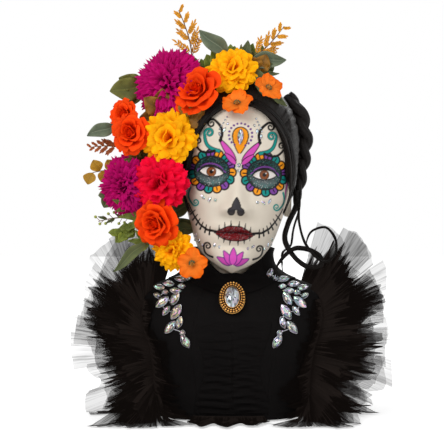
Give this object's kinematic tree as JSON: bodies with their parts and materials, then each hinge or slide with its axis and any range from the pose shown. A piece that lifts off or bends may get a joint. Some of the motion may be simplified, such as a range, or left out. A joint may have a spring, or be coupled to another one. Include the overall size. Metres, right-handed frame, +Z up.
{
  "type": "catrina bust",
  "caption": "Decorative bust with a skull-painted face, a flower garland over black hair, and a black bodice with tulle shoulder frills and a brooch, on a flat felted base.",
  "frame": {"origin": "middle of the felt underside on which the bust stands", "axes": "+Z up, -Y to the front where the face looks, +X to the side of the crown braid"},
  "size_m": [0.3632, 0.2022, 0.4932],
  "materials": {
    "skin": "ivory paint, matte, on a light composition head",
    "hair": "glossy black fibre",
    "post_wood": "bare turned wood",
    "form_linen": "light composition dress form covered in linen",
    "board_wood": "bare board",
    "felt": "black felt",
    "cloth_black": "black cloth, matte",
    "tulle_black": "black netting, see-through",
    "gold": "old gold, polished",
    "crystal": "cut glass with a rainbow coating",
    "marigold": "yellow silk petals",
    "rose": "orange silk petals with red hearts",
    "pink": "crimson pink silk petals",
    "magenta": "magenta silk petals",
    "floret": "light orange silk petals",
    "leaf": "grey-green leaf cloth",
    "leaf_olive": "olive leaf cloth",
    "spray_gold": "golden brown leaflets",
    "spray_red": "red-brown leaflets",
    "berry": "yellow-green berries",
    "wire": "green wrapping over wire"
  },
  "bodies": {
    "root": {"head": "skin", "neck_post": "post_wood", "brow_gem": "crystal", "hair_cap": "hair", "crown_braid": "hair", "curl_thick": "hair", "curl_thin": "hair", "curl_loop": "hair", "garland_wire": "wire", "marigold_side": "marigold", "marigold_crown": "marigold", "marigold_low": "marigold", "rose_crown": "rose", "rose_low": "rose", "rose_side": "rose", "rose_back": "rose", "mum_pink": "pink", "mum_crown": "magenta", "mum_side": "magenta", "floret_low": "floret", "floret_brow": "floret", "floret_crown": "floret", "leaf_brow": "leaf", "leaf_crown": "leaf", "leaf_right": "leaf", "leaf_upper": "leaf_olive", "leaf_side": "leaf", "leaf_round": "leaf", "leaf_low": "leaf", "leaf_dark": "leaf_olive", "spray_crown": "spray_gold", "spray_right": "spray_gold", "spray_red": "spray_red", "sprig_coins": "spray_gold", "sprig_berries": "berry", "felt_pad": "felt", "base_board": "board_wood", "dress_form": "form_linen", "bodice": "cloth_black", "collar": "cloth_black", "ruched_panel": "cloth_black", "hem_frill": "tulle_black", "frill_left_front": "tulle_black", "frill_left_middle": "tulle_black", "frill_left_back": "tulle_black", "frill_right_front": "tulle_black", "frill_right_middle": "tulle_black", "frill_right_back": "tulle_black", "shoulder_crystals_left": "crystal", "shoulder_crystals_right": "crystal", "collar_crystals_left": "crystal", "collar_crystals_right": "crystal", "brooch_plate": "gold", "brooch_beads": "gold", "brooch_cabochon": "crystal"}
  },
  "joints": []
}
